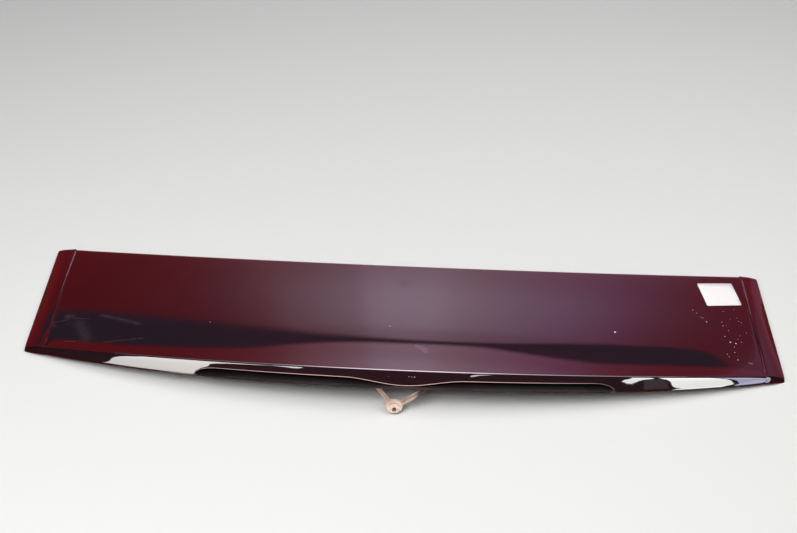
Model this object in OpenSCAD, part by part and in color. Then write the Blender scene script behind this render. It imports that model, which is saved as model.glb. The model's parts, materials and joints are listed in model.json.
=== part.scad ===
// Tailgate roof spoiler: a painted upper shell with sloping ears, bonded to an under shell that forms
// the long recess in the trailing face. Millimetres. +Y points to the roof of the car, +Z up, and the
// outer edges of the ears rest on Z = 0.

/* [Overall size] */
// Width across the two front corners
front_w = 1280; // [1000:10:1500]
// Width across the two rear tips
rear_w = 1260; // [1000:10:1500]
// Depth from the front edge to the crest of the trailing face, on the middle line
depth = 276; // [220:1:340]
// How far the front edge runs back in the middle, seen from above
front_bow = 80; // [20:1:120]
// How far the trailing edge runs back in the middle, seen from above
rear_bow = 87; // [30:1:130]

/* [Top panel] */
// Rise of the front edge, from the creases to the middle
front_crown = 48; // [30:1:80]
// Rise of the trailing edge, from the creases to the middle
rear_crown = 51; // [40:1:90]
// Bulge of the top panel between its front and trailing edges
panel_bulge = 4; // [0:0.5:8]
// Radius along the front edge
front_r = 4; // [1:0.5:6]
// Height of the front edge, from the top panel to the underside
front_h = 14; // [10:0.5:20]

/* [Ears] */
// Width of each sloping ear, from its crease to its outer edge
ear_w = 36; // [24:1:60]
// Fall of an ear, from the top panel to its outer edge
ear_fall = 12; // [8:0.5:16]
// Thickness of an ear at its outer edge
ear_edge = 6; // [5:0.5:10]
// Height of the ear's inner edge above the top panel, at the front
ear_step = 2.2; // [0.5:0.1:3]
// Width of the groove beside the ear's inner edge
groove_w = 3.2; // [2:0.1:5]
// Depth of that groove where it is deepest
groove_d = 1.6; // [0.5:0.1:2.2]

/* [Trailing face] */
// Height of the trailing face in the middle
face_mid = 28.4; // [26:0.1:40]
// Height of the trailing face at the creases
face_end = 12.5; // [9:0.5:16]
// Lean of the trailing face, its foot to the rear of its crest
face_lean = 25; // [10:1:32]
// Radius along the crest of the trailing face
crest_r = 2.4; // [1.4:0.1:4]
// Radius along the lower lip of the painted face
lip_r = 1.6; // [0.8:0.1:2]

/* [Recess] */
// Length of the recess along the trailing face
recess_len = 672; // [400:2:900]
// Length of the curved closing at each end of the recess
recess_end = 34; // [20:1:60]
// Depth of the recess, from the crest of the face to its back wall
recess_d = 16; // [12:1:24]
// Height of the painted brow at the ends of the recess
brow_h = 12; // [8:0.2:13]
// How much deeper the brow is along its middle
brow_swell = 2.6; // [0:0.2:3]
// How much deeper again it hangs at the very middle
brow_dip = 9.2; // [4:0.2:10]
// Length of the part that hangs there
dip_len = 196; // [120:2:300]
// Height of the raised strip along the floor of the recess
pad_h = 2; // [0.5:0.1:2.5]
// Width of that strip
pad_w = 14; // [10:0.5:15]
// Distance from the end of the recess to the end of the strip
pad_in = 50; // [40:1:80]

/* [Walls] */
// Wall of the painted upper shell
skin_t = 3; // [2:0.1:3.6]
// Wall of the under shell
under_t = 2.5; // [1.8:0.1:3]
// Clearance between the two shells along their bond line
bond_gap = 0.2; // [0.1:0.05:0.4]

/* [Mounting] */
// Distance from the middle to the inner studs
stud_inner_x = 150; // [100:5:220]
// Distance from the middle to the outer studs
stud_outer_x = 400; // [300:5:420]
// Distance of each stud from the front edge
stud_back = 62; // [45:1:80]
// Thread diameter of the studs
stud_d = 6; // [5:1:8]
// Length of a stud below its collar
stud_len = 18; // [12:1:20]
// Width across the flats of a stud's hexagonal collar
collar_af = 10; // [8:1:13]
// Height of a stud's collar
collar_h = 4; // [3:0.5:5]
// Diameter of the round boss that carries a stud
boss_d = 30; // [24:1:36]
// How far a boss stands below the underside
boss_h = 3; // [2:0.5:5]
// Depth of the threaded socket in a boss
socket_h = 8; // [5:0.5:9]
// Thickness of the foam ring round a stud
ring_t = 5; // [3:0.5:6]
// Distance from the middle to the locating pins
pin_x = 520; // [440:5:540]
// Diameter of a locating pin
pin_d = 8; // [5:0.5:10]
// Length of a locating pin below the underside
pin_len = 10; // [6:0.5:11]
// Width of the foam strip along the front edge
strip_w = 12; // [8:1:16]
// Thickness of that foam strip
strip_t = 5; // [3:0.5:6]
// Distance from the front edge to the foam strip
strip_back = 14; // [10:1:20]

/* [Centre bracket] */
// Distance that the bracket's eye stands out behind the trailing edge
bracket_out = 17.5; // [16:0.5:19]
// Lean of the bracket from upright
bracket_lean = 33; // [31:1:35]
// Distance from the middle to the left foot
foot_left = 42; // [38:0.5:48]
// Distance from the middle to the right foot
foot_right = 33; // [30:0.5:40]
// Distance of the eye from the middle, to the left
eye_left = 14.2; // [8:0.1:16]
// Height of the rounded eye
eye_h = 23.4; // [21:0.2:25]
// How much wider than high the eye is
eye_wide = 3.6; // [0:0.2:5]
// Thickness of the eye over its stepped hub
eye_t = 6; // [5:0.5:8]
// Radius of the screw hole through the eye
eye_hole_r = 3.6; // [2:0.1:3.8]
// Height of the hole's middle above the eye's lower edge
hole_up = 6.5; // [6:0.1:8]
// Width of the bracket's left arm
arm_w = 6.8; // [6:0.2:8]
// Width of its right arm
wide_arm_w = 8.4; // [7:0.2:9]
// Thickness of the arms and feet
arm_t = 2.4; // [1.6:0.2:3]
// Height of the ribs along the arms
rib_h = 1.2; // [0.6:0.1:2]
// Height of the bracket's eye above the surface that the spoiler rests on
eye_clear = 1.5; // [1:0.5:4]
// Diameter of the bracket's screws
screw_d = 3; // [2.5:0.5:4]

/* [Hidden] */

plum = "#2a1420";
black = "#1c1a1b";
foam = "#3a3a3c";
zinc = "#b9b4a0";
natural = "#d9c9ae";

lean = tan(face_lean);
half_front = front_w / 2;
half_rear = rear_w / 2;
total_depth = depth + front_bow + face_mid * lean + bracket_out;
y_front = total_depth / 2 - front_bow;
y_rear = y_front - depth;

// Places across the spoiler are shares of its half width: 0 on the middle line, 1 at an ear's edge
crease = 1 - ear_w / half_front;
groove = groove_w / 2 / half_front;
recess_v = recess_len / 2 / half_rear;
closing = recess_end / half_rear;
dip_v = dip_len / 2 / half_rear;
pad_v = recess_v - pad_in / half_rear;
ear_fill = crease + 0.35 * (1 - crease);

function mix(a, b, k) = a + (b - a) * k;
function steps(a, b, n) = [for (i = [0:n - 1]) mix(a, b, i / n)];
function backwards(list) = [for (i = [len(list) - 1:-1:0]) list[i]];
function mirrored(half) = concat([for (v = backwards(half)) if (v > 0) -v], half);

// Sections across the spoiler, closer together where the shape turns
function stations(fine) = mirrored(concat(
    steps(0, dip_v, 6 * fine),
    steps(dip_v, pad_v - 3 * groove, 4 * fine),
    [for (i = [0:3]) pad_v - (3 - i) * groove],
    [pad_v + 3 * groove],
    [for (i = [0:4]) recess_v - closing * (1 - sin(i * 18))],
    steps(recess_v, crease - 2 * groove, 7 * fine),
    [crease - 2 * groove, crease - groove, crease],
    steps(crease + groove, 1 - groove, 3 + fine),
    [1 - groove, 1]));

// Plan: the front and trailing edges are both bowed to the rear in the middle
function front_y(v) = y_front + front_bow * v * v;
function rear_y(v) = y_rear + rear_bow * v * v;
function along(v, y) = (front_y(v) - y) / (front_y(v) - rear_y(v));
function place(v, p) = [v * mix(half_front, half_rear, along(v, p[0])), p[0], p[1]];

// Heights: a crowned panel, and ears that fall away ever faster to their outer edges
function ear_share(a) = max(0, min(1, (a - crease - groove) / (1 - crease - groove)));
function base_z(v, crown) = let (a = abs(v))
    ear_edge + ear_fall * (1 - pow(ear_share(a), 1.8)) + crown * max(0, 1 - pow(a / crease, 2));

// Beside each ear: its raised inner edge, higher to the front, and a groove that fades out at both ends
function relief(a, k) = lookup(a, [
    [crease - 2 * groove, 0],
    [crease - groove, -groove_d * lookup(k, [[0, 0.1], [0.3, 0.3], [0.5, 1], [0.84, 1], [1, 0]])],
    [crease, ear_step * lookup(k, [[0, 0.85], [0.34, 0.6], [0.6, 0.3], [1, 0]])],
    [crease + groove, ear_step * lookup(k, [[0, 0.9], [0.34, 0.5], [0.6, 0.25], [1, 0]])],
    [crease + 5 * groove, 0]]);
function top_front(v) = base_z(v, front_crown) + relief(abs(v), 0);
function top_rear(v) = base_z(v, rear_crown) + relief(abs(v), 1);
function under_front(v) = max(0, base_z(v, front_crown) - front_h);
function face_h(a) = mix(face_mid, face_end, pow(a / crease, 2.8));
function under_rear(v) = let (a = abs(v)) a < crease
    ? top_rear(v) - face_h(a)
    : lookup(a, [[crease, top_rear(crease) - face_end], [1, 0]]);

// The leaning face at a height, its foot, and the underside between the foot and the front edge
function face_y(v, z) = rear_y(v) - (top_rear(v) - z) * lean;
function foot(v) = face_y(v, under_rear(v));
function under_z(v, y) = mix(under_front(v), under_rear(v), (front_y(v) - y) / (front_y(v) - foot(v)));

// Recess: open under the brow, closed by a quarter curve at each end
function open_share(a) = a <= recess_v - closing ? 1
    : a >= recess_v ? 0 : sqrt(1 - pow((a - recess_v + closing) / closing, 2));
function hang(a) = brow_h + brow_swell * max(0, 1 - pow(a / recess_v, 2))
    + (a < dip_v ? brow_dip * (1 + cos(180 * a / dip_v)) / 2 : 0);
function opening(v) = let (a = abs(v), room = top_rear(v) - under_rear(v) - under_t - bond_gap)
    max(0, room - hang(a)) * open_share(a);

// The recess's roof, and the painted lip that hangs below it: outside the recess it covers the under shell
function roof_z(v) = under_rear(v) + under_t + bond_gap + opening(v);
function lip_z(v) = roof_z(v) - mix(under_t + bond_gap, 0.4, open_share(abs(v)));
function lip_in(v) = face_y(v, lip_z(v)) + wall(v) * 1.2 + 0.3;

// Wall of the upper shell: the ears close down to one thickness along their outer edges
function wall(v) = min(skin_t, (top_rear(v) - roof_z(v)) / 3.2);
function filled(v) = max(0, min(1, (abs(v) - ear_fill) / (1 - groove - ear_fill)));
function inner(v, y, z) = mix(z, under_z(v, y) + under_t + 2 * bond_gap, filled(v));

top_marks = [for (i = [1:5]) i / 6];
inner_marks = [0.88, 0.6, 0.3, 0.1];
function crest(v) = mix(min(crest_r, wall(v)), (top_rear(v) - under_rear(v)) * 0.8, filled(v));
function panel(v, k) = let (r = min(front_r, wall(v) * 1.3))
    [mix(front_y(v) - r, rear_y(v) + crest(v) * 0.65, k),
     mix(base_z(v, front_crown), base_z(v, rear_crown), k) + relief(abs(v), k)
         + 4 * panel_bulge * k * (1 - k) * (1 - filled(v))];

function upper_section(v) = let (
    t = wall(v), r = min(front_r, t * 1.3), c = crest(v), l = min(lip_r, t * 0.5),
    yf = front_y(v), yr = rear_y(v), zf = top_front(v), zr = top_rear(v), zl = lip_z(v), zo = roof_z(v),
    tip = face_y(v, zl), bend = 1 - sin(45),
    web = mix(face_y(v, zo + t) + t + 2, yr + recess_d + 0.2, filled(v)))
    concat(
        [[yf - t, under_front(v)], [yf - 0.8, under_front(v)], [yf, under_front(v) + 0.8],
         [yf, zf - r], [yf - bend * r, zf - bend * r]],
        [for (k = concat([0], top_marks, [1])) panel(v, k)],
        [[yr + 0.1 * c, zr - 0.16 * c], [face_y(v, zr - 0.6 * c), zr - 0.6 * c],
         [face_y(v, mix(zr - 0.6 * c, zl + 1.4 * l, 0.5)), mix(zr - 0.6 * c, zl + 1.4 * l, 0.5)],
         [face_y(v, zl + 1.4 * l), zl + 1.4 * l], [tip + 0.6 * l, zl + 0.9 * l],
         [tip + 0.75 * l, zl + 0.4 * l], [tip + 1.55 * l, zl], [lip_in(v), zl], [lip_in(v), zo],
         [yr + recess_d, zo], [yr + recess_d, inner(v, yr + recess_d, zo + t)],
         [web, inner(v, web, zo + t)],
         [web + 1, inner(v, web + 1, mix(zr - 1.7 * t, zo + t, 0.4))]],
        [for (k = inner_marks) [panel(v, k)[0], inner(v, panel(v, k)[0], panel(v, k)[1] - t)]],
        [[yf - t, inner(v, yf - t, zf - r - 0.5)]]);

// The under shell: its edge stands out as a ledge in the recess, and lies behind the painted lip beyond it
function ledge_y(v) = abs(v) < recess_v - closing * (1 - sin(63)) ? foot(v) + 0.6 : lip_in(v) + bond_gap;
function pad_share(a) = lookup(a, [[pad_v - 3 * groove, 1], [pad_v - groove, 0.8], [pad_v + groove, 0]]);
sheet_marks = [0.33, 0.67];
function lower_section(v) = let (
    yf = front_y(v) - wall(v) - 2 * bond_gap, yr = rear_y(v), zb = under_rear(v), zt = zb + under_t,
    o = opening(v), edge = ledge_y(v), rise = min(pad_h, o / 2) * pad_share(abs(v)),
    back = yr + recess_d + under_t, sheet = back + 5, pad_end = min(edge + pad_w, yr + recess_d - 3))
    concat(
        [[edge, zb + 0.8], [edge, zt - 0.6], [edge + 0.6, zt], [edge + 1.6, zt],
         [edge + 2.4, zt + rise * 0.5], [pad_end - 0.8, zt + rise], [pad_end, zt],
         [yr + recess_d - 2, zt], [yr + recess_d, zt + o], [back, zt + o],
         [sheet, under_z(v, sheet) + under_t]],
        [for (k = sheet_marks) let (y = mix(sheet, yf, k)) [y, under_z(v, y) + under_t]],
        [[yf, under_z(v, yf) + under_t], [yf, under_z(v, yf)]],
        [for (k = sheet_marks) let (y = mix(yf, edge, k)) [y, under_z(v, y)]],
        [[edge + 0.8, under_z(v, edge + 0.8)]]);

function strip_section(v) = let (y1 = front_y(v) - strip_back, y2 = y1 - strip_w,
    z1 = under_z(v, y1) - bond_gap, z2 = under_z(v, y2) - bond_gap)
    [[y1, z1], [y2, z2], [y2 + 1, z2 - strip_t], [y1 - 1, z1 - strip_t]];

// Skins a row of sections, all with as many points, and closes both ends
module loft(rings) {
    n = len(rings[0]);
    last = len(rings) - 1;
    polyhedron(
        points = [for (ring = rings) each ring],
        faces = concat(
            [[for (i = [0:n - 1]) i]],
            [[for (i = [n - 1:-1:0]) last * n + i]],
            [for (s = [0:last - 1]) for (i = [0:n - 1]) let (j = (i + 1) % n, a = s * n, b = a + n)
                each [[a + i, b + i, b + j], [a + i, b + j, a + j]]]),
        convexity = 8);
}

module upper_shell() {
    color(plum) loft([for (v = stations(2)) [for (p = upper_section(v)) place(v, p)]]);
}

// Studs and locating pins: the share of the half width that a distance across makes at their depth
stud_places = [-stud_outer_x, -stud_inner_x, stud_inner_x, stud_outer_x];
function stud_v(x) = let (v = x / half_front)
    x / mix(half_front, half_rear, along(v, front_y(v) - stud_back));
function stud_y(x) = front_y(stud_v(x)) - stud_back;
function boss_z(x) = under_z(abs(stud_v(x)) + boss_d / 2 / half_front, stud_y(x) - boss_d / 2) - boss_h;
function pin_z(x) = under_z(stud_v(x), stud_y(x)) - pin_len;

// The bracket's feet lie on two flat seats behind the foot of the trailing face
foot_places = [-foot_left, foot_right];
foot_w = 15;
foot_d = 14;
seat_z = under_rear((foot_left + foot_w / 2) / half_rear) - 0.6;
seat_h = 3;
pilot_r = screw_d / 2 + 0.1;

// The bracket's own plane: +X across, and down its slope from the seats to the eye
eye_x = -eye_left;
eye_r = eye_h / 2;
slope_len = (seat_z - eye_clear) / cos(bracket_lean);
root_y = foot(0) - bracket_out + slope_len * sin(bracket_lean) + eye_t * cos(bracket_lean);
eye_down = slope_len - eye_r;
hole_down = slope_len - hole_up;
foot_y = root_y + foot_d / 2 - 4;

module lower_shell() {
    color(black) difference() {
        union() {
            loft([for (v = stations(1)) [for (p = backwards(lower_section(v))) place(v, p)]]);
            for (x = stud_places) translate([x, stud_y(x), boss_z(x)])
                cylinder(d = boss_d, h = socket_h + 2, $fn = 30);
            for (x = [-pin_x, pin_x]) translate([x, stud_y(x), pin_z(x)]) {
                cylinder(d1 = pin_d * 0.6, d2 = pin_d, h = 2, $fn = 24);
                translate([0, 0, 2]) cylinder(d = pin_d, h = pin_len - 0.8, $fn = 24);
            }
            for (x = foot_places) translate([x - foot_w / 2, foot_y - foot_d / 2, seat_z])
                cube([foot_w, foot_d, seat_h]);
        }
        for (x = stud_places) translate([x, stud_y(x), boss_z(x) - 1])
            cylinder(d = stud_d + 0.2, h = socket_h + 1, $fn = 20);
        for (x = foot_places) translate([x, foot_y, seat_z - 1])
            cylinder(r = pilot_r, h = seat_h + 1, $fn = 16);
    }
}

module front_seal() {
    color(foam) loft([for (v = stations(1)) if (abs(v) < crease - 3 * groove)
        [for (p = strip_section(v)) place(v, p)]]);
}

module stud_seals() {
    color(foam) for (x = stud_places) translate([x, stud_y(x), boss_z(x) - ring_t]) difference() {
        cylinder(d = boss_d - 1, h = ring_t - 0.1, $fn = 30);
        translate([0, 0, -1]) cylinder(d = collar_af / cos(30) + 3, h = ring_t + 2, $fn = 30);
    }
}

module mounting_studs() {
    color(zinc) for (x = stud_places) translate([x, stud_y(x), boss_z(x)]) {
        cylinder(d = stud_d, h = socket_h - 1, $fn = 24);
        translate([0, 0, -collar_h]) cylinder(d = collar_af / cos(30), h = collar_h, $fn = 6);
        translate([0, 0, -collar_h - stud_len]) cylinder(d = stud_d, h = stud_len, $fn = 24);
    }
}

module on_slope() {
    translate([0, root_y, seat_z]) rotate([-bracket_lean, 0, 0]) rotate([90, 0, 0]) children();
}

// A bar between two places on the slope, standing on a height above it
module bar(ends, width, height, from_z = 0) {
    hull() for (p = ends) translate([p[0], -p[1], from_z]) cylinder(d = width, h = height, $fn = 20);
}
left_arm = [[-foot_left, arm_w / 2 + 2], [eye_x - 12, eye_down - 11]];
right_arm = [[foot_right, wide_arm_w / 2 + 2], [eye_x + 8, eye_down - 3]];
rib_w = 1.2;

// A straight rail along an arm, beside its middle
module rail(ends, aside, height) {
    run = ends[1] - ends[0];
    translate([ends[0][0], -ends[0][1], arm_t]) rotate(atan2(-run[1], run[0]))
        translate([0, aside - rib_w / 2, 0]) cube([norm(run), rib_w, height]);
}

// Ribs: a rail along each side of the left arm with short ones across, and one wide rail on the right arm
module arm_ribs() {
    for (side = [-1, 1]) rail(left_arm, side * (arm_w - rib_w) * 0.46, rib_h);
    for (k = [0.3:0.16:0.8]) translate([mix(left_arm[0][0], left_arm[1][0], k),
        -mix(left_arm[0][1], left_arm[1][1], k), arm_t])
        rotate(42) translate([-arm_w / 2, -rib_w / 2, 0]) cube([arm_w, rib_w, rib_h * 0.6]);
    translate([1.1, -1.6, 0]) bar(right_arm, wide_arm_w * 0.42, rib_h * 1.6, arm_t);
}

// The two ends of the eye's outline, drawn in by an amount
module eye_ends(inset) {
    for (side = [-1, 1])
        translate([eye_x + side * eye_wide / 2, -eye_down]) circle(r = eye_r - inset, $fn = 48);
}

// The eye: a plate that widens out of the left arm, and two steps up round the hole
module eye() {
    linear_extrude(eye_t / 2) hull() {
        eye_ends(0);
        for (x = [eye_x - 19, eye_x - 6]) translate([x, 10 - eye_down]) circle(r = 1, $fn = 16);
    }
    for (step = [[12.3, 0.8, 0.75], [7.2, 1.6, 1]])
        linear_extrude(eye_t * step[2]) intersection() {
            hull() eye_ends(step[1]);
            translate([eye_x, -hole_down]) circle(r = step[0], $fn = 48);
        }
}

module centre_bracket() {
    color(natural) difference() {
        union() {
            on_slope() {
                bar(left_arm, arm_w, arm_t);
                bar(right_arm, wide_arm_w, arm_t);
                arm_ribs();
                eye();
            }
            for (x = foot_places) translate([x - foot_w / 2, foot_y - foot_d / 2, seat_z - arm_t])
                cube([foot_w, foot_d, arm_t]);
        }
        on_slope() translate([eye_x, -hole_down, -1])
            cylinder(r = eye_hole_r, h = eye_t + 2, $fn = 32);
        for (x = foot_places) translate([x, foot_y, seat_z - arm_t - 1])
            cylinder(r = pilot_r + 0.2, h = arm_t + 2, $fn = 24);
    }
}

module bracket_screws() {
    color(zinc) for (x = foot_places) translate([x, foot_y, seat_z - arm_t]) {
        cylinder(d = screw_d, h = arm_t + seat_h - 0.5, $fn = 16);
        translate([0, 0, -2]) cylinder(d1 = screw_d * 1.6, d2 = screw_d * 2.1, h = 2, $fn = 20);
    }
}

upper_shell();
lower_shell();
front_seal();
stud_seals();
mounting_studs();
centre_bracket();
bracket_screws();
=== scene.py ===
import json
import math

import bmesh
import bpy
from mathutils import Matrix, Vector
from mathutils.bvhtree import BVHTree


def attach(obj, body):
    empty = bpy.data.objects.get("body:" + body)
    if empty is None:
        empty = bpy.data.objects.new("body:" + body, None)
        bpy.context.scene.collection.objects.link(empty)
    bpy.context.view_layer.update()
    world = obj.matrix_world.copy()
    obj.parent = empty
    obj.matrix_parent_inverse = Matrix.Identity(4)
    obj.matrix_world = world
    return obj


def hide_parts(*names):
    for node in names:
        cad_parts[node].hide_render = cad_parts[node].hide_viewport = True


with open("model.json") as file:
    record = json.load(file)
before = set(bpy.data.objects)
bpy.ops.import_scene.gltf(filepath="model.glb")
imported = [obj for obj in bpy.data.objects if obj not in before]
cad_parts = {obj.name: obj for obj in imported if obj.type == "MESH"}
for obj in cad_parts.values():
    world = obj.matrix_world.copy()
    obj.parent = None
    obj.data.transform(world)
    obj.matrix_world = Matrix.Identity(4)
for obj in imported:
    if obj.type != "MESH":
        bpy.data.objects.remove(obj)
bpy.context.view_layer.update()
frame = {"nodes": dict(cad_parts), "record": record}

# The photograph's frame, in pixels, and the camera that it was taken with, worked out from the
# spoiler's four corners: focal length in pixels, elevation over the plane that it rests on, and roll
PHOTO_W, PHOTO_H = 797, 533
FOCAL_PX = 1201.0
CAMERA_PLACE = Vector((-0.0167, -1.5574, 1.3402))
CAMERA_ELEVATION = math.radians(37.4)
CAMERA_ROLL = math.radians(2.34)
SENSOR_WIDTH = 36.0


def make_camera():
    data = bpy.data.cameras.new("studio_camera")
    camera = bpy.data.objects.new("studio_camera", data)
    bpy.context.collection.objects.link(camera)
    data.sensor_width = SENSOR_WIDTH
    data.lens = SENSOR_WIDTH * FOCAL_PX / PHOTO_W
    data.clip_start, data.clip_end = 0.05, 60.0
    forward = Vector((0, math.cos(CAMERA_ELEVATION), -math.sin(CAMERA_ELEVATION)))
    level = Vector((1, 0, 0))
    down = Vector((0, -math.sin(CAMERA_ELEVATION), -math.cos(CAMERA_ELEVATION)))
    right = level * math.cos(CAMERA_ROLL) - down * math.sin(CAMERA_ROLL)
    up = -(level * math.sin(CAMERA_ROLL) + down * math.cos(CAMERA_ROLL))
    turn = Matrix((right, up, -forward)).transposed()
    camera.matrix_world = Matrix.Translation(CAMERA_PLACE) @ turn.to_4x4()
    bpy.context.scene.camera = camera


def through_pixel(x, y):
    """Where the camera's line through a pixel of the photograph leaves the lens, and its direction."""
    camera = bpy.context.scene.camera.matrix_world
    direction = Vector((x - PHOTO_W / 2, PHOTO_H / 2 - y, -FOCAL_PX)).normalized()
    return camera.translation.copy(), (camera.to_3x3() @ direction).normalized()


# Materials


class Nodes:
    """Short ways to build a material's node tree."""

    def __init__(self, tree):
        self.tree = tree

    def add(self, kind, **values):
        node = self.tree.nodes.new(kind)
        for name, value in values.items():
            setattr(node, name, value)
        return node

    def link(self, source, target):
        self.tree.links.new(source, target)

    def fill(self, socket, value):
        if isinstance(value, bpy.types.NodeSocket):
            self.link(value, socket)
        else:
            socket.default_value = value

    def maths(self, operation, a, b, clamp=False):
        node = self.add("ShaderNodeMath", operation=operation, use_clamp=clamp)
        self.fill(node.inputs[0], a)
        self.fill(node.inputs[1], b)
        return node.outputs[0]

    def blend(self, share, a, b):
        node = self.add("ShaderNodeMix", data_type="RGBA")
        self.fill(node.inputs[0], share)
        self.fill(node.inputs[6], a)
        self.fill(node.inputs[7], b)
        return node.outputs[2]

    def ramp(self, value, low, high, low_to=0.0, high_to=1.0):
        node = self.add("ShaderNodeMapRange")
        node.interpolation_type = "SMOOTHSTEP"
        self.fill(node.inputs[0], value)
        for i, number in enumerate((low, high, low_to, high_to), start=1):
            node.inputs[i].default_value = number
        return node.outputs[0]

    def curve(self, value, low, high, points, top=1.0):
        """A smooth curve through points (value, result), from low to high, with results up to top."""
        spread = self.add("ShaderNodeMapRange")
        self.fill(spread.inputs[0], value)
        spread.inputs[1].default_value, spread.inputs[2].default_value = low, high
        node = self.add("ShaderNodeFloatCurve")
        line = node.mapping.curves[0]
        while len(line.points) < len(points):
            line.points.new(0.5, 0.5)
        for point, (place, result) in zip(line.points, sorted(points)):
            point.location = ((place - low) / (high - low), result / top)
        node.mapping.update()
        self.link(spread.outputs[0], node.inputs["Value"])
        return self.maths("MULTIPLY", node.outputs[0], top)

    def place(self):
        return self.add("ShaderNodeTexCoord").outputs["Object"]

    def noise(self, where, scale, detail=2.0, roughness=0.5):
        node = self.add("ShaderNodeTexNoise")
        self.fill(node.inputs["Vector"], where)
        node.inputs["Scale"].default_value = scale
        node.inputs["Detail"].default_value = detail
        node.inputs["Roughness"].default_value = roughness
        return node.outputs["Fac"]

    def cells(self, where, scale):
        node = self.add("ShaderNodeTexVoronoi")
        self.fill(node.inputs["Vector"], where)
        node.inputs["Scale"].default_value = scale
        return node

    def stretched(self, where, scale, turn=(0, 0, 0)):
        node = self.add("ShaderNodeMapping")
        self.fill(node.inputs["Vector"], where)
        node.inputs["Scale"].default_value = scale
        node.inputs["Rotation"].default_value = turn
        return node.outputs[0]

    def bump(self, height, distance, strength=1.0):
        node = self.add("ShaderNodeBump")
        self.fill(node.inputs["Height"], height)
        node.inputs["Distance"].default_value = distance
        node.inputs["Strength"].default_value = strength
        return node.outputs[0]


def new_material(name):
    material = bpy.data.materials.new(name)
    material.use_nodes = True
    material.node_tree.nodes.clear()
    nodes = Nodes(material.node_tree)
    output = nodes.add("ShaderNodeOutputMaterial")
    shader = nodes.add("ShaderNodeBsdfPrincipled")
    nodes.link(shader.outputs[0], output.inputs[0])
    return material, nodes, shader


def dust_group():
    """Fine dust and handling marks: a mask of specks and a mask of faint wiped smears."""
    tree = bpy.data.node_groups.new("workshop_dust", "ShaderNodeTree")
    sockets = tree.interface
    sockets.new_socket("Place", in_out="INPUT", socket_type="NodeSocketVector")
    sockets.new_socket("Speck scale", in_out="INPUT", socket_type="NodeSocketFloat").default_value = 160.0
    sockets.new_socket("Amount", in_out="INPUT", socket_type="NodeSocketFloat").default_value = 0.5
    sockets.new_socket("Specks", in_out="OUTPUT", socket_type="NodeSocketFloat")
    sockets.new_socket("Smears", in_out="OUTPUT", socket_type="NodeSocketFloat")
    nodes = Nodes(tree)
    entry = nodes.add("NodeGroupInput")
    leave = nodes.add("NodeGroupOutput")
    where, scale, amount = entry.outputs[0], entry.outputs[1], entry.outputs[2]
    cells = nodes.cells(where, 160.0)
    nodes.link(scale, cells.inputs["Scale"])
    dots = nodes.ramp(cells.outputs["Distance"], 0.04, 0.1, 1.0, 0.0)
    chosen = nodes.ramp(nodes.noise(cells.outputs["Position"], 40.0), 0.55, 0.68)
    specks = nodes.maths("MULTIPLY", nodes.maths("MULTIPLY", dots, chosen), amount, clamp=True)
    streaks = nodes.noise(nodes.stretched(where, (3.0, 22.0, 3.0), (0, 0, 0.5)), 3.0, 4.0, 0.6)
    patches = nodes.noise(where, 5.0, 3.0)
    smears = nodes.maths("MULTIPLY", nodes.ramp(streaks, 0.5, 0.75), nodes.ramp(patches, 0.45, 0.65))
    nodes.link(specks, leave.inputs[0])
    nodes.link(nodes.maths("MULTIPLY", smears, amount, clamp=True), leave.inputs[1])
    return tree


def use_dust(nodes, group, where, speck_scale, amount):
    node = nodes.add("ShaderNodeGroup", node_tree=group)
    nodes.link(where, node.inputs[0])
    node.inputs[1].default_value = speck_scale
    node.inputs[2].default_value = amount
    return node.outputs[0], node.outputs[1]


def spot(nodes, where, centre, radius, edge, depth=1.0):
    """A round mask about a point on the object, full inside the edge's share of its radius."""
    distance = nodes.add("ShaderNodeVectorMath", operation="DISTANCE")
    nodes.link(where, distance.inputs[0])
    distance.inputs[1].default_value = centre
    return nodes.ramp(distance.outputs["Value"], radius * edge, radius, depth, 0.0)


def stroke(nodes, where, start, end, radius, depth):
    """A soft straight stroke on the object from start to end, as strong as depth along its middle."""
    start, end = Vector(start), Vector(end)
    along = end - start

    def vector_maths(operation, a, b):
        node = nodes.add("ShaderNodeVectorMath", operation=operation)
        for socket, value in zip(node.inputs, (a, b)):
            nodes.fill(socket, value)
        return node.outputs["Value" if operation in ("DOT_PRODUCT", "DISTANCE") else "Vector"]

    offset = vector_maths("SUBTRACT", where, tuple(start))
    share = vector_maths("DOT_PRODUCT", offset, tuple(along / along.length_squared))
    share = nodes.maths("ADD", share, 0.0, clamp=True)
    combine = nodes.add("ShaderNodeCombineXYZ")
    for i in range(3):
        nodes.link(nodes.maths("MULTIPLY", share, along[i]), combine.inputs[i])
    distance = vector_maths("DISTANCE", offset, combine.outputs[0])
    return nodes.ramp(distance, 0.0, radius, depth, 0.0)


def strongest(nodes, masks):
    """The strongest of several masks at each place."""
    total = masks[0]
    for mask in masks[1:]:
        total = nodes.maths("MAXIMUM", total, mask)
    return total


PLUM = (0.015, 0.0036, 0.0052, 1)
DEEP_PLUM = (0.011, 0.0024, 0.0038, 1)
DUST_ON_PAINT = (0.30, 0.24, 0.24, 1)
# Pale for scuffs, and for painted highlights along the ears' grooves
SCUFF_AND_HIGHLIGHT_PALE = (0.30, 0.25, 0.28, 1)
CHIPPED_PAINT = (0.80, 0.70, 0.72, 1)


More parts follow.
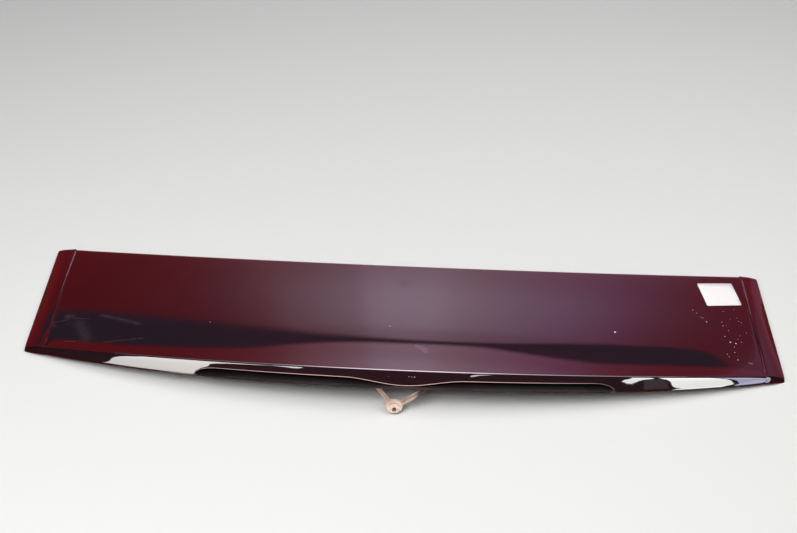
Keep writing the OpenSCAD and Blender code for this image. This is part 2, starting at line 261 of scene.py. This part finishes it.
def plum_paint(dust, chips, dusty_places, scuffs_and_highlights, dull_places):
    """Dark plum metallic paint under a clear coat, chipped and scuffed where the photograph shows it, with
    painted highlights along the ears' grooves.
    """
    material, nodes, shader = new_material("plum_paint")
    where = nodes.place()
    flakes = nodes.cells(where, 2600.0)
    tint = nodes.blend(nodes.ramp(flakes.outputs["Distance"], 0.1, 0.6), PLUM, DEEP_PLUM)
    specks, smears = use_dust(nodes, dust, where, 150.0, 0.5)
    near = strongest(nodes, [spot(nodes, where, *place, 0.2) for place in dusty_places])
    dust_mask = nodes.maths("MULTIPLY", specks, near)
    chipped = strongest(nodes, [spot(nodes, where, centre, radius, 0.4, depth)
                                for centre, radius, depth in chips])
    # Scuffs, and painted highlights along the ears' grooves
    scuffed_or_highlit = strongest(nodes, [stroke(nodes, where, *place) for place in scuffs_and_highlights])
    dulled = strongest(nodes, [spot(nodes, where, centre, radius, 0.0, depth)
                               for centre, radius, depth in dull_places])
    streaky = nodes.noise(nodes.stretched(where, (160.0, 40.0, 40.0)), 1.0, 3.0)
    scuffed_or_highlit = nodes.maths("MULTIPLY", scuffed_or_highlit, nodes.ramp(streaky, 0.3, 0.7, 0.6, 1.0))
    colour = nodes.blend(dust_mask, tint, DUST_ON_PAINT)
    colour = nodes.blend(scuffed_or_highlit, colour, SCUFF_AND_HIGHLIGHT_PALE)
    colour = nodes.blend(chipped, colour, CHIPPED_PAINT)
    nodes.link(colour, shader.inputs["Base Color"])
    worn = nodes.maths("MAXIMUM", dust_mask, chipped)
    nodes.link(nodes.ramp(worn, 0.0, 1.0, 0.12, 0.0), shader.inputs["Metallic"])
    rough = nodes.maths("ADD", nodes.ramp(worn, 0.0, 1.0, 0.45, 0.8), nodes.maths("MULTIPLY", smears, 0.1))
    nodes.link(rough, shader.inputs["Roughness"])
    lost = nodes.maths("MAXIMUM", worn, dulled)
    nodes.link(nodes.ramp(lost, 0.0, 1.0, 1.0, 0.0), shader.inputs["Coat Weight"])
    shader.inputs["Specular IOR Level"].default_value = 0.0
    shader.inputs["Coat Roughness"].default_value = 0.02
    shader.inputs["Coat IOR"].default_value = 1.5
    peel = nodes.noise(where, 260.0, 2.0)
    nodes.link(nodes.bump(peel, 0.00002, 0.25), shader.inputs["Normal"])
    return material


def black_moulding(dust):
    """Black moulded plastic with a fine grain and a little dust, its tint warmed by a painted reflection
    of a red floor.
    """
    material, nodes, shader = new_material("black_moulding")
    where = nodes.place()
    specks, smears = use_dust(nodes, dust, where, 120.0, 0.4)
    cloud = nodes.noise(where, 9.0, 4.0)
    # The warm red cast of both tints is a painted reflection of a red floor; the cloud's tone is the
    # plastic's own
    tint = nodes.blend(cloud, (0.008, 0.006, 0.0065, 1), (0.014, 0.010, 0.010, 1))
    tint = nodes.blend(nodes.maths("MULTIPLY", smears, 0.5), tint, (0.06, 0.05, 0.05, 1))
    nodes.link(nodes.blend(specks, tint, (0.2, 0.18, 0.17, 1)), shader.inputs["Base Color"])
    nodes.link(nodes.ramp(cloud, 0.3, 0.7, 0.34, 0.5), shader.inputs["Roughness"])
    shader.inputs["Specular IOR Level"].default_value = 0.12
    grain = nodes.noise(where, 900.0, 2.0)
    nodes.link(nodes.bump(grain, 0.00012, 0.35), shader.inputs["Normal"])
    return material


NATURAL = (0.74, 0.60, 0.50, 1)
NATURAL_SHADE = (0.58, 0.42, 0.33, 1)
# Dark tone for the bracket's dirt, also used for painted shade on its arms and round its eye
GRIME_AND_SHADE = (0.10, 0.055, 0.04, 1)
# Black painted on the right arm's far end as shadow
SHADOW_BLACK = (0.018, 0.014, 0.013, 1)
# From the hole at the bracket's tip, in metres: the ring of painted shade round it, the depth over which
# the ring fades in, and where the painted shade on the arms begins; then where along X the right arm is
# painted black for shadow
SHADED_EYE_RING = (0.0094, 0.0102, 0.0112)
RING_DEPTH = (-0.0007, 0.0033)
SHADED_ARMS_REACH = (0.011, 0.017)
SHADOWED_END = (0.016, 0.024)


def natural_moulding(eye, shaded_strips):
    """Undyed moulded plastic, waxy, with noise dirt; painted shade darkens its arms, a ring round the eye
    and strips along the arms, and the far end of the right arm is painted black for shadow.
    """
    material, nodes, shader = new_material("natural_moulding")
    where = nodes.place()
    patches = nodes.noise(where, 60.0, 4.0)
    tint = nodes.blend(nodes.ramp(patches, 0.35, 0.7), NATURAL, NATURAL_SHADE)
    grime = nodes.noise(where, 220.0, 3.0)
    from_eye = nodes.add("ShaderNodeVectorMath", operation="DISTANCE")
    nodes.link(where, from_eye.inputs[0])
    from_eye.inputs[1].default_value = eye
    reach = from_eye.outputs["Value"]
    # Painted shade: the arms darken away from the eye
    shaded_arms = nodes.ramp(reach, *SHADED_ARMS_REACH, 0.0, 0.5)
    split = nodes.add("ShaderNodeSeparateXYZ")
    nodes.link(where, split.inputs[0])
    # Painted shade: a dark ring round the eye, on its upper side only
    shaded_ring = nodes.maths("MULTIPLY", nodes.ramp(reach, *SHADED_EYE_RING[:2]),
                       nodes.ramp(reach, *SHADED_EYE_RING[1:], 0.75, 0.0))
    shaded_ring = nodes.maths("MULTIPLY", shaded_ring, nodes.ramp(split.outputs[1], *(eye[1] + y for y in RING_DEPTH)))
    # Noise dirt, with the painted shade of the arms, the ring and the strips along the arms
    dirt_and_shade = strongest(nodes, [shaded_arms, shaded_ring, nodes.ramp(grime, 0.56, 0.72, 0.0, 0.6)]
                     + [stroke(nodes, where, *place) for place in shaded_strips])
    tint = nodes.blend(dirt_and_shade, tint, GRIME_AND_SHADE)
    # The right arm's far end painted black as shadow
    tint = nodes.blend(nodes.ramp(split.outputs[0], *SHADOWED_END), tint, SHADOW_BLACK)
    nodes.link(tint, shader.inputs["Base Color"])
    nodes.link(nodes.ramp(grime, 0.3, 0.7, 0.25, 0.5), shader.inputs["Roughness"])
    shader.inputs["Subsurface Weight"].default_value = 0.12
    shader.inputs["Subsurface Radius"].default_value = (0.004, 0.003, 0.002)
    nodes.link(nodes.bump(grime, 0.0003, 0.5), shader.inputs["Normal"])
    return material


def closed_foam():
    """Dark closed-cell foam."""
    material, nodes, shader = new_material("closed_foam")
    where = nodes.place()
    pores = nodes.cells(where, 900.0)
    depth = nodes.ramp(pores.outputs["Distance"], 0.1, 0.6)
    tint = nodes.blend(depth, (0.018, 0.018, 0.02, 1), (0.05, 0.05, 0.053, 1))
    nodes.link(tint, shader.inputs["Base Color"])
    shader.inputs["Roughness"].default_value = 0.9
    nodes.link(nodes.bump(depth, 0.0004, 0.8), shader.inputs["Normal"])
    return material


# The wave texture's scale that gives a thread with a pitch of 1 mm
THREAD_WAVES = 314.0


def zinc_steel(thread):
    """Yellow zinc on steel; with thread, the ridges of a metric thread round upright shanks."""
    material, nodes, shader = new_material("zinc_thread" if thread else "zinc_steel")
    where = nodes.place()
    stain = nodes.noise(where, 130.0, 3.0)
    tint = nodes.blend(stain, (0.62, 0.55, 0.36, 1), (0.42, 0.40, 0.34, 1))
    nodes.link(tint, shader.inputs["Base Color"])
    shader.inputs["Metallic"].default_value = 1.0
    nodes.link(nodes.ramp(stain, 0.3, 0.7, 0.28, 0.48), shader.inputs["Roughness"])
    if thread:
        wave = nodes.add("ShaderNodeTexWave", wave_type="BANDS", bands_direction="Z", wave_profile="TRI")
        nodes.link(where, wave.inputs["Vector"])
        wave.inputs["Scale"].default_value = THREAD_WAVES
        nodes.link(nodes.bump(wave.outputs["Fac"], 0.0006), shader.inputs["Normal"])
    return material


def label_paper():
    """Thin white paper with a faint fibre."""
    material, nodes, shader = new_material("label_paper")
    where = nodes.place()
    fibre = nodes.noise(where, 700.0, 4.0)
    tint = nodes.blend(nodes.ramp(fibre, 0.35, 0.75), (0.93, 0.92, 0.90, 1), (0.87, 0.86, 0.85, 1))
    nodes.link(tint, shader.inputs["Base Color"])
    shader.inputs["Roughness"].default_value = 0.55
    shader.inputs["Specular IOR Level"].default_value = 0.15
    nodes.link(nodes.bump(fibre, 0.00005, 0.5), shader.inputs["Normal"])
    return material


def floor_material():
    material, nodes, shader = new_material("pale_floor")
    shader.inputs["Base Color"].default_value = (0.80, 0.80, 0.79, 1)
    shader.inputs["Roughness"].default_value = 0.85
    shader.inputs["Specular IOR Level"].default_value = 0.0
    return material


# Pieces


def add_piece(name, mesh, material):
    piece = bpy.data.objects.new(name, mesh)
    bpy.context.collection.objects.link(piece)
    mesh.materials.clear()
    mesh.materials.append(material)
    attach(piece, "root")
    return piece


# Triangles that lie within FLAT_TURN are joined to fours, whose corners are within FOUR_TURN of square;
# an edge that turns more than HELD_TURN is held when the piece is rounded; corners that are nearer than
# MERGED, in metres, become one
FLAT_TURN = math.radians(12)
FOUR_TURN = math.radians(60)
HELD_TURN = math.radians(20)
MERGED = 1e-5


def smooth_copy(node, name, material, sharp, levels=0, hold=0.0):
    """A merged copy of a CAD node with smooth shading, its edges over the sharp angle kept crisp."""
    shape = bmesh.new()
    shape.from_mesh(frame["nodes"][node].data)
    bmesh.ops.remove_doubles(shape, verts=shape.verts, dist=MERGED)
    bmesh.ops.join_triangles(shape, faces=shape.faces, angle_face_threshold=FLAT_TURN,
                             angle_shape_threshold=FOUR_TURN, cmp_seam=False, cmp_sharp=False,
                             cmp_uvs=False, cmp_vcols=False, cmp_materials=False)
    held = shape.edges.layers.float.new("crease_edge")
    for edge in shape.edges:
        turn = edge.calc_face_angle(math.pi)
        if turn > sharp:
            edge.smooth = False
        if turn > HELD_TURN:
            edge[held] = hold
    for face in shape.faces:
        face.smooth = True
    mesh = bpy.data.meshes.new(name)
    shape.to_mesh(mesh)
    shape.free()
    piece = add_piece(name, mesh, material)
    if levels:
        rounder = piece.modifiers.new("rounder", "SUBSURF")
        rounder.levels = rounder.render_levels = levels
    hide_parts(node)


def place_of_mount(name):
    """The middle of one of the part's mounts, as the frame gives it."""
    return next(mount["pos_m"] for mount in frame["record"]["mounts"] if mount["name"] == name)


def surface_of(node):
    """A tree for finding points on a CAD node's surface."""
    mesh = frame["nodes"][node].data
    return BVHTree.FromPolygons([v.co for v in mesh.vertices], [p.vertices for p in mesh.polygons])


def on_surface(tree, x, y):
    """The point of the surface that a pixel of the photograph shows."""
    return tree.ray_cast(*through_pixel(x, y))[0]


# The label's corners in the photograph, from its top left corner clockwise; then, in metres, the height
# from which it is let down on the panel, the height at which it rests, its paper and its corners' radius
LABEL_CORNERS = ((696.8, 283.6), (731.2, 283.6), (741.9, 305.4), (707.3, 305.9))
LABEL_DROP = 0.05
LABEL_LIFT = 0.00035
LABEL_SHEET = 0.00025
LABEL_ROUND = 0.003
LABEL_CUTS = 10


def make_label(tree, material):
    """The paper label: a sheet with rounded corners, laid on the curved top panel."""
    corners = [on_surface(tree, x, y) for x, y in LABEL_CORNERS]
    shape = bmesh.new()
    shape.faces.new([shape.verts.new(corner) for corner in reversed(corners)])
    bmesh.ops.bevel(shape, geom=list(shape.verts), offset=LABEL_ROUND, offset_type="OFFSET",
                    affect="VERTICES", segments=5, profile=0.5, material=-1)
    across = (corners[1] - corners[0]).normalized()
    along = (corners[3] - corners[0]).normalized()
    sizes = ((across, (corners[1] - corners[0]).length), (along, (corners[3] - corners[0]).length))
    for side, length in sizes:
        for i in range(1, LABEL_CUTS):
            bmesh.ops.bisect_plane(shape, geom=shape.verts[:] + shape.edges[:] + shape.faces[:], dist=1e-6,
                                   plane_co=corners[0] + side * length * i / LABEL_CUTS, plane_no=side)
    for vertex in shape.verts:
        panel = tree.ray_cast(vertex.co + Vector((0, 0, LABEL_DROP)), Vector((0, 0, -1)))[0]
        vertex.co = panel + Vector((0, 0, LABEL_LIFT))
    bmesh.ops.recalc_face_normals(shape, faces=shape.faces)
    if sum(face.normal.z for face in shape.faces) < 0:
        bmesh.ops.reverse_faces(shape, faces=shape.faces)
    for face in shape.faces:
        face.smooth = True
    mesh = bpy.data.meshes.new("paper_label")
    shape.to_mesh(mesh)
    shape.free()
    piece = add_piece("paper_label", mesh, material)
    thick = piece.modifiers.new("sheet", "SOLIDIFY")
    thick.thickness = LABEL_SHEET
    thick.offset = -1.0


# Where the photograph shows chips and grit on the paint: pixel, radius in millimetres and how pale it is
CHIP_PIXELS = (
    (615, 332, 2.2, 1.0), (210, 322, 1.2, 0.4), (390, 326, 1.2, 0.45), (692.9, 310.2, 1.3, 0.3),
    (696.6, 313.1, 1.2, 0.4), (706.6, 321.8, 1.5, 0.7), (721.9, 322, 1.3, 0.45), (723.2, 325.9, 1.4, 0.55),
    (726.3, 325.9, 1.1, 0.35), (728.6, 330.5, 1.2, 0.5), (725, 336.5, 1.2, 0.5), (730.5, 342.1, 1.8, 0.95),
    (736, 343.4, 1.6, 0.9), (738.1, 339.2, 1.1, 0.45), (741.4, 342.1, 1.2, 0.5), (739.8, 335.9, 1.0, 0.3),
    (746.4, 333, 1.0, 0.3), (734.6, 346.9, 1.2, 0.5), (734.8, 352.5, 1.2, 0.6), (727.3, 354.1, 1.2, 0.45),
    (729.4, 356.6, 1.2, 0.5), (737.9, 359.9, 1.5, 0.75), (736.8, 318.1, 1.1, 0.3),
    (738.9, 321.4, 1.2, 0.3), (741.4, 322.6, 1.1, 0.4), (733.9, 309.4, 1.2, 0.3),
    (723.2, 311.4, 1.2, 0.3), (730.2, 318.9, 1.0, 0.25), (388.5, 376.4, 0.7, 0.2), (409, 376.6, 0.9, 0.6),
    (411.8, 376.9, 0.9, 0.6), (414.6, 377.1, 0.9, 0.65))
# Where it gathers dust, by pixel and radius, and where the clear coat has dulled, and by how much
DUSTY_PIXELS = ((722, 335, 110), (430, 295, 100), (640, 320, 80))
DULL_PIXELS = ((404, 283, 26, 0.22), (420, 297, 20, 0.10), (455, 292, 24, 0.08))
# Scuffs and bare edges, and painted highlights along the ears' grooves: from one pixel to another, half
# width in millimetres and how pale it is
SCUFF_AND_HIGHLIGHT_PIXELS = (
    (52.5, 322.8, 68.5, 319.8, 1.6, 0.10), (67, 316.8, 73, 316.5, 9.0, 0.07),
    (74, 318.2, 89, 318.8, 1.6, 0.08), (102, 315.2, 140, 323.6, 6.0, 0.06),
    (65, 341.3, 76, 341.3, 1.6, 0.10), (103, 342.2, 143, 338, 2.6, 0.06),
    (79, 323, 87, 339, 16.0, 0.045), (53, 324, 56, 327, 3.0, 0.06), (66, 325, 72, 321.5, 1.6, 0.07),
    (417, 345.8, 425.5, 351.5, 6.0, 0.12), (421, 346.5, 426.5, 349.5, 5.0, 0.10),
    (700.5, 317, 703.2, 318, 1.4, 0.8), (749, 363, 752, 363.6, 1.5, 0.8),
    # These last strokes are painted highlights along the grooves at the ears' inner edges
    (75.8, 251.8, 66.6, 275.5, 1.5, 0.5), (66.6, 275.5, 61.2, 291, 1.5, 0.2),
    (742.2, 280.5, 747.2, 300, 1.8, 0.45), (747.2, 300, 750.6, 314, 1.6, 0.25))


# Strips of painted shade along the bracket's arms, in the same way as the scuffs
SHADED_STRIP_PIXELS = ((380.3, 390.5, 387, 398.5, 3.0, 0.85), (402.5, 401.2, 415, 394.9, 2.2, 0.9))


def strokes(tree, pixels):
    """Marks as strokes from place to place on the surface, in metres: scuffs and painted highlights on the
    paint, painted shade on the bracket's arms.
    """
    return [(tuple(on_surface(tree, x, y)), tuple(on_surface(tree, to_x, to_y)), half / 1000, depth)
            for x, y, to_x, to_y, half, depth in pixels]


def marks(tree, pixels):
    """Round marks as places on the surface with their radii, in metres."""
    return [(tuple(on_surface(tree, x, y)), radius / 1000, *depth) for x, y, radius, *depth in pixels]


# Studio


def soft_lamp(name, place, width, height, watts):
    """A soft lamp aimed at the spoiler's middle, which polished surfaces don't mirror."""
    data = bpy.data.lights.new(name, "AREA")
    data.shape = "RECTANGLE"
    data.size, data.size_y = width, height
    data.energy = watts
    lamp = bpy.data.objects.new(name, data)
    lamp.location = place
    lamp.rotation_euler = (LAMPS_AIM - Vector(place)).to_track_quat("-Z", "Y").to_euler()
    bpy.context.collection.objects.link(lamp)
    lamp.visible_glossy = False


def reflected_card(name, corners, shade):
    """A studio card that only reflections see; shade makes its glow, which may change over it."""
    shape = bmesh.new()
    shape.faces.new([shape.verts.new(corner) for corner in corners])
    mesh = bpy.data.meshes.new(name)
    shape.to_mesh(mesh)
    shape.free()
    card = bpy.data.objects.new(name, mesh)
    bpy.context.collection.objects.link(card)
    material = bpy.data.materials.new(name)
    material.use_nodes = True
    material.node_tree.nodes.clear()
    nodes = Nodes(material.node_tree)
    glow = nodes.add("ShaderNodeEmission")
    shade(nodes, glow)
    nodes.link(glow.outputs[0], nodes.add("ShaderNodeOutputMaterial").inputs[0])
    mesh.materials.append(material)
    for way in ("visible_camera", "visible_diffuse", "visible_shadow", "visible_transmission"):
        setattr(card, way, False)


def even_glow(strength, colour):
    """One strength all over the card."""
    def shade(nodes, glow):
        glow.inputs["Color"].default_value = (*colour, 1)
        glow.inputs["Strength"].default_value = strength
    return shade


def sheet_glow(strength, colour):
    """A pale sheet, brighter at its top."""
    def shade(nodes, glow):
        split = nodes.add("ShaderNodeSeparateXYZ")
        nodes.link(nodes.place(), split.inputs[0])
        glow.inputs["Color"].default_value = (*colour, 1)
        glow_here = nodes.ramp(split.outputs[2], 0.0, 0.6, 0.72 * strength, strength)
        nodes.link(glow_here, glow.inputs["Strength"])
    return shade


def overhead_glow(nodes, glow):
    """A long lamp overhead, brightest a little right of its middle."""
    split = nodes.add("ShaderNodeSeparateXYZ")
    nodes.link(nodes.place(), split.inputs[0])
    glow.inputs["Color"].default_value = (1.0, 0.87, 0.95, 1)
    along = nodes.curve(split.outputs[0], *OVERHEAD_SPAN, OVERHEAD_ACROSS, OVERHEAD_TOP)
    nodes.link(along, glow.inputs["Strength"])


def window_glow(nodes, glow):
    """A pale window on a rosy wall, crossed by a dark bar that widens and bows down to both sides."""
    split = nodes.add("ShaderNodeSeparateXYZ")
    nodes.link(nodes.place(), split.inputs[0])
    x, z = split.outputs[0], split.outputs[2]
    over_low = nodes.maths("SUBTRACT", z, nodes.curve(x, *WINDOW_SPAN, BAR_LOW, BAR_TOP))
    softness = nodes.ramp(x, -2.0, 0.4, 0.22, 0.06)
    below = nodes.ramp(nodes.maths("DIVIDE", over_low, softness), -1.0, 0.5, 1.0, 0.0)
    over_high = nodes.maths("SUBTRACT", z, nodes.curve(x, *WINDOW_SPAN, BAR_HIGH, BAR_TOP))
    above = nodes.ramp(over_high, -0.03, 0.07)
    window = nodes.maths("MULTIPLY", nodes.curve(x, *WINDOW_SPAN, WINDOW_ACROSS),
                         nodes.curve(z, *WINDOW_HEIGHTS, WINDOW_UP))
    lit = nodes.maths("ADD", below, above, clamp=True)
    bright = nodes.blend(nodes.ramp(x, 0.4, 1.8), WINDOW_GLOW, RIGHT_GLOW)
    nodes.link(nodes.blend(lit, BAR_GLOW, nodes.blend(window, WALL_GLOW, bright)), glow.inputs["Color"])
    nodes.link(nodes.ramp(over_high, 0.0, 0.1, 1.0, 1.5), glow.inputs["Strength"])


def upright(y, corners):
    """Corners on an upright plane across the view, from places across and up."""
    return [(across, y, up) for across, up in corners]


def level(z, corners):
    """Corners on a level plane, from places across and away."""
    return [(across, away, z) for across, away in corners]


def oblong(left, right, low, high):
    return (left, low), (right, low), (right, high), (left, high)


# What the painted surfaces reflect: a window and a wall beyond the spoiler, a lamp overhead, and on the
# camera's side a row of pale sheets before a dim wall, all placed in metres
WINDOW_AT = 4.0
OVERHEAD_AT = 2.8
SHEETS_AT = -3.5
DIM_WALL_AT = -3.6
LOW_GLOW_AT = 0.0006
LIP_GLOW_AT = 0.0008
FEET_AT = 0.0012
WALL_GLOW = (0.68, 0.035, 0.045, 1)
WINDOW_GLOW = (2.9, 2.15, 2.75, 1)
RIGHT_GLOW = (2.75, 1.95, 3.5, 1)
BAR_GLOW = (0.05, 0.12, 0.19, 1)
# The window's light across and up, the overhead lamp's light across, and the bar's two edges: pairs of a
# place and what the curve gives there
WINDOW_SPAN = (-3.6, 3.6)
WINDOW_HEIGHTS = (1.5, 5.0)
BAR_TOP = 5.0
OVERHEAD_SPAN = (-2.2, 2.2)
OVERHEAD_TOP = 30.0
WINDOW_ACROSS = ((-3.6, 0.005), (-2.3, 0.02), (-1.7, 0.06), (-0.9, 0.37), (-0.4, 0.66), (0.08, 1.0),
                 (0.45, 0.82), (0.84, 0.62), (1.4, 0.42), (1.9, 0.24), (2.4, 0.10), (3.0, 0.04),
                 (3.4, 0.05), (3.6, 0.15))
WINDOW_UP = ((1.5, 0.45), (2.3, 0.62), (3.1, 1.0), (3.46, 0.95), (3.7, 0.7), (4.15, 0.55), (4.5, 0.75),
             (5.0, 0.8))
OVERHEAD_ACROSS = ((-2.2, 2.0), (-1.0, 4.0), (-0.6, 12.0), (-0.3, 19.0), (0.1, 22.0), (0.5, 19.0),
                   (0.9, 10.0), (1.5, 6.0), (2.2, 4.0))
BAR_LOW = ((-3.6, 3.0), (-2.82, 3.17), (-2.36, 3.34), (-1.91, 3.5), (-1.45, 3.64), (-0.98, 3.77),
           (-0.5, 3.84), (0.0, 3.88), (0.38, 3.88), (0.77, 3.856), (1.16, 3.80), (1.54, 3.72),
           (1.93, 3.64), (2.33, 3.56), (2.63, 3.50), (2.94, 3.46), (3.33, 3.62), (3.6, 3.8))
BAR_HIGH = ((-3.6, 3.6), (-3.12, 3.80), (-2.62, 3.95), (-2.1, 4.05), (-1.55, 4.08), (-1.0, 4.0),
            (-0.5, 3.943), (0.0, 3.935), (0.39, 3.926), (0.79, 3.927), (1.2, 3.99), (1.63, 4.04),
            (2.07, 4.04), (2.48, 3.95), (2.8, 3.866), (3.12, 3.77), (3.37, 3.68), (3.6, 3.6))
# The sheets' names, strengths, colours and outlines, and those of their feet on the floor
FACE_CARDS = (
    ("left_sheet", 18.0, (1.0, 0.975, 0.945),
     ((-3.36, 0.0), (-2.98, 0.64), (-2.93, 0.95), (-1.25, 0.95), (-1.45, 0.78), (-1.80, 0.56),
      (-1.96, 0.40), (-1.99, 0.0))),
    ("left_streak", 17.0, (1.0, 0.97, 1.0),
     ((-1.42, 0.98), (-1.02, 0.98), (-0.98, 0.70), (-1.02, 0.56), (-1.08, 0.56), (-1.17, 0.66),
      (-1.29, 0.82))),
    ("middle_streak", 13.0, (1.0, 0.97, 1.0),
     ((0.68, 0.50), (0.69, 0.62), (0.74, 0.80), (0.80, 0.98), (0.92, 0.98), (0.86, 0.80), (0.77, 0.66),
      (0.72, 0.53))),
    ("curl", 20.0, (1.0, 1.0, 1.0),
     ((2.31, 0.36), (2.35, 0.43), (2.41, 0.49), (2.46, 0.58), (2.50, 0.72), (2.52, 0.95), (2.80, 0.95),
      (2.77, 0.55), (2.70, 0.48), (2.62, 0.43), (2.55, 0.38), (2.49, 0.33), (2.43, 0.31), (2.36, 0.32))),
    ("grey_sheet", 0.9, (0.85, 0.86, 1.0),
     ((2.56, 0.10), (2.58, 0.36), (2.70, 0.43), (2.84, 0.42), (2.90, 0.20), (2.92, 0.10))),
    ("right_sheet", 24.0, (0.98, 1.0, 0.96),
     ((3.07, 0.0), (2.96, 0.20), (2.91, 0.36), (2.87, 0.52), (2.91, 0.95), (3.74, 0.95), (3.79, 0.42),
      (3.936, 0.0))),
    ("blue_sheet", 13.5, (0.73, 0.75, 1.0),
     ((4.031, 0.0), (3.86, 0.42), (3.80, 0.95), (4.42, 0.95), (4.56, 0.60), (4.63, 0.25), (4.65, 0.0))),
)
FOOT_CARDS = (
    ("right_sheet_foot", 20.0, (0.98, 1.0, 0.96),
     ((3.07, SHEETS_AT), (3.936, SHEETS_AT), (0.60, -0.2), (0.48, -0.2))),
    ("blue_sheet_foot", 12.0, (0.73, 0.75, 1.0),
     ((4.031, SHEETS_AT), (4.68, SHEETS_AT), (0.71, -0.2), (0.63, -0.2))),
)
FLOOR_HALF = 9.0
WORLD_COLOUR = (0.95, 0.93, 1.0, 1)
WORLD_STRENGTH = 0.07
# The lamps' names, places, widths, heights and watts
LAMPS = (("key", (-0.9, -1.5, 2.3), 2.2, 1.8, 70.0), ("fill", (1.2, 0.2, 2.6), 2.4, 2.0, 44.5))
LAMPS_AIM = Vector((0.0, 0.0, 0.05))


def make_studio():
    shape = bmesh.new()
    bmesh.ops.create_grid(shape, x_segments=1, y_segments=1, size=FLOOR_HALF)
    mesh = bpy.data.meshes.new("studio_floor")
    shape.to_mesh(mesh)
    shape.free()
    floor = bpy.data.objects.new("studio_floor", mesh)
    mesh.materials.append(floor_material())
    bpy.context.collection.objects.link(floor)

    world = bpy.data.worlds.new("studio_world")
    bpy.context.scene.world = world
    world.use_nodes = True
    background = world.node_tree.nodes["Background"]
    background.inputs["Color"].default_value = WORLD_COLOUR
    background.inputs["Strength"].default_value = WORLD_STRENGTH

    for lamp in LAMPS:
        soft_lamp(*lamp)
    reflected_card("window", upright(WINDOW_AT, oblong(-16, 16, 0.0, 9.0)), window_glow)
    reflected_card("dim_wall", upright(DIM_WALL_AT, oblong(-4.6, 4.6, 0.0, 1.4)),
                   even_glow(0.16, (0.6, 0.8, 1.0)))
    reflected_card("overhead", level(OVERHEAD_AT, oblong(*OVERHEAD_SPAN, -1.8, 1.8)), overhead_glow)
    reflected_card("lip_glow", level(LIP_GLOW_AT, oblong(-0.5, 0.42, -2.0, -0.3)),
                   even_glow(24.0, (1.0, 0.72, 0.64)))
    reflected_card("low_glow", level(LOW_GLOW_AT, oblong(-6, 6, -6, 4)), even_glow(0.4, (1.0, 0.14, 0.09)))
    for name, strength, colour, corners in FOOT_CARDS:
        reflected_card(name, level(FEET_AT, corners), even_glow(strength, colour))
    for name, strength, colour, corners in FACE_CARDS:
        reflected_card(name, upright(SHEETS_AT, corners), sheet_glow(strength, colour))


def main():
    make_camera()
    make_studio()
    tree = surface_of("upper_shell")
    dust = dust_group()
    paint = plum_paint(dust, marks(tree, CHIP_PIXELS), marks(tree, DUSTY_PIXELS),
                       strokes(tree, SCUFF_AND_HIGHLIGHT_PIXELS), marks(tree, DULL_PIXELS))
    smooth_copy("upper_shell", "painted_shell", paint, math.radians(50), levels=2, hold=0.35)
    smooth_copy("lower_shell", "under_shell", black_moulding(dust), math.radians(25))
    make_label(tree, label_paper())
    finishes = {"front_seal": closed_foam(), "mounting_studs": zinc_steel(True),
                "bracket_screws": zinc_steel(False)}
    # Strips of painted shade along the bracket's arms
    shaded_strips = strokes(surface_of("centre_bracket"), SHADED_STRIP_PIXELS)
    finishes["centre_bracket"] = natural_moulding(place_of_mount("bracket_eye"), shaded_strips)
    finishes["stud_seals"] = finishes["front_seal"]
    for node, finish in finishes.items():
        frame["nodes"][node].material_slots[0].material = finish


main()
bpy.context.scene.view_settings.view_transform = "Standard"
